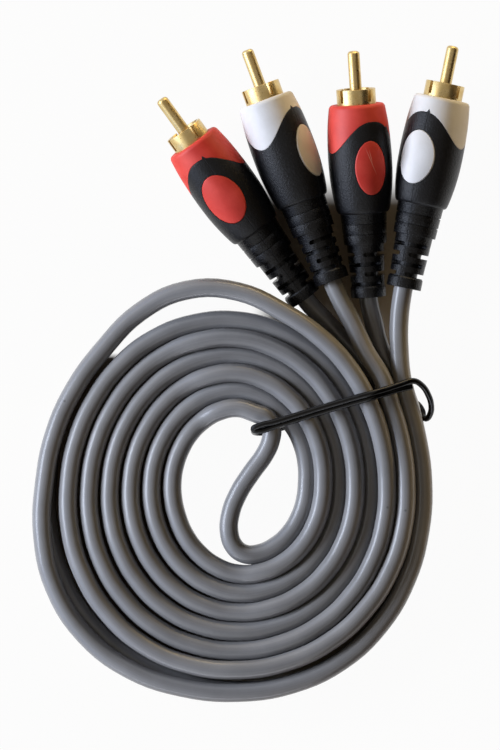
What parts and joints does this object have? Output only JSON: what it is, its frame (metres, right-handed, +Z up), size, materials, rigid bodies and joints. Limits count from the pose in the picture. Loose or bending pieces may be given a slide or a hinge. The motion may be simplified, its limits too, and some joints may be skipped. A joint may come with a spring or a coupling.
{
  "type": "rca audio cable",
  "caption": "Stereo audio patch lead: grey twin cord wound flat and tied with coated wire, red and white phono plugs with gold contacts and slotted black strain reliefs at both ends.",
  "frame": {"origin": "middle of the footprint of the whole lead as it lies, on the surface that it lies on", "axes": "+Z up from that surface; +Y along the lead's long side, from the coil towards the plugs; +X to the right as seen from above with the plugs at the top"},
  "size_m": [0.1143, 0.1722, 0.0195],
  "materials": {
    "cord": "satin extruded grey vinyl",
    "tie": "black vinyl coating on soft wire",
    "contact": "bright gold plating with light wear",
    "insulator": "plain moulded",
    "red_moulding": "satin moulded, lightly scratched",
    "white_moulding": "satin moulded",
    "grip": "satin black overmoulding with fine grain"
  },
  "bodies": {
    "root": {"cord_coil": "cord", "lead_red_1": "cord", "lead_white_1": "cord", "lead_red_2": "cord", "lead_white_2": "cord", "wire_tie": "tie", "red_1_pin": "contact", "red_1_insulator": "insulator", "red_1_ground_ring": "contact", "red_1_collar": "red_moulding", "red_1_grip": "grip", "red_1_core_wire": "insulator", "white_1_pin": "contact", "white_1_insulator": "insulator", "white_1_ground_ring": "contact", "white_1_collar": "white_moulding", "white_1_grip": "grip", "white_1_core_wire": "insulator", "red_2_pin": "contact", "red_2_insulator": "insulator", "red_2_ground_ring": "contact", "red_2_collar": "red_moulding", "red_2_grip": "grip", "red_2_core_wire": "insulator", "white_2_pin": "contact", "white_2_insulator": "insulator", "white_2_ground_ring": "contact", "white_2_collar": "white_moulding", "white_2_grip": "grip", "white_2_core_wire": "insulator"}
  },
  "joints": []
}
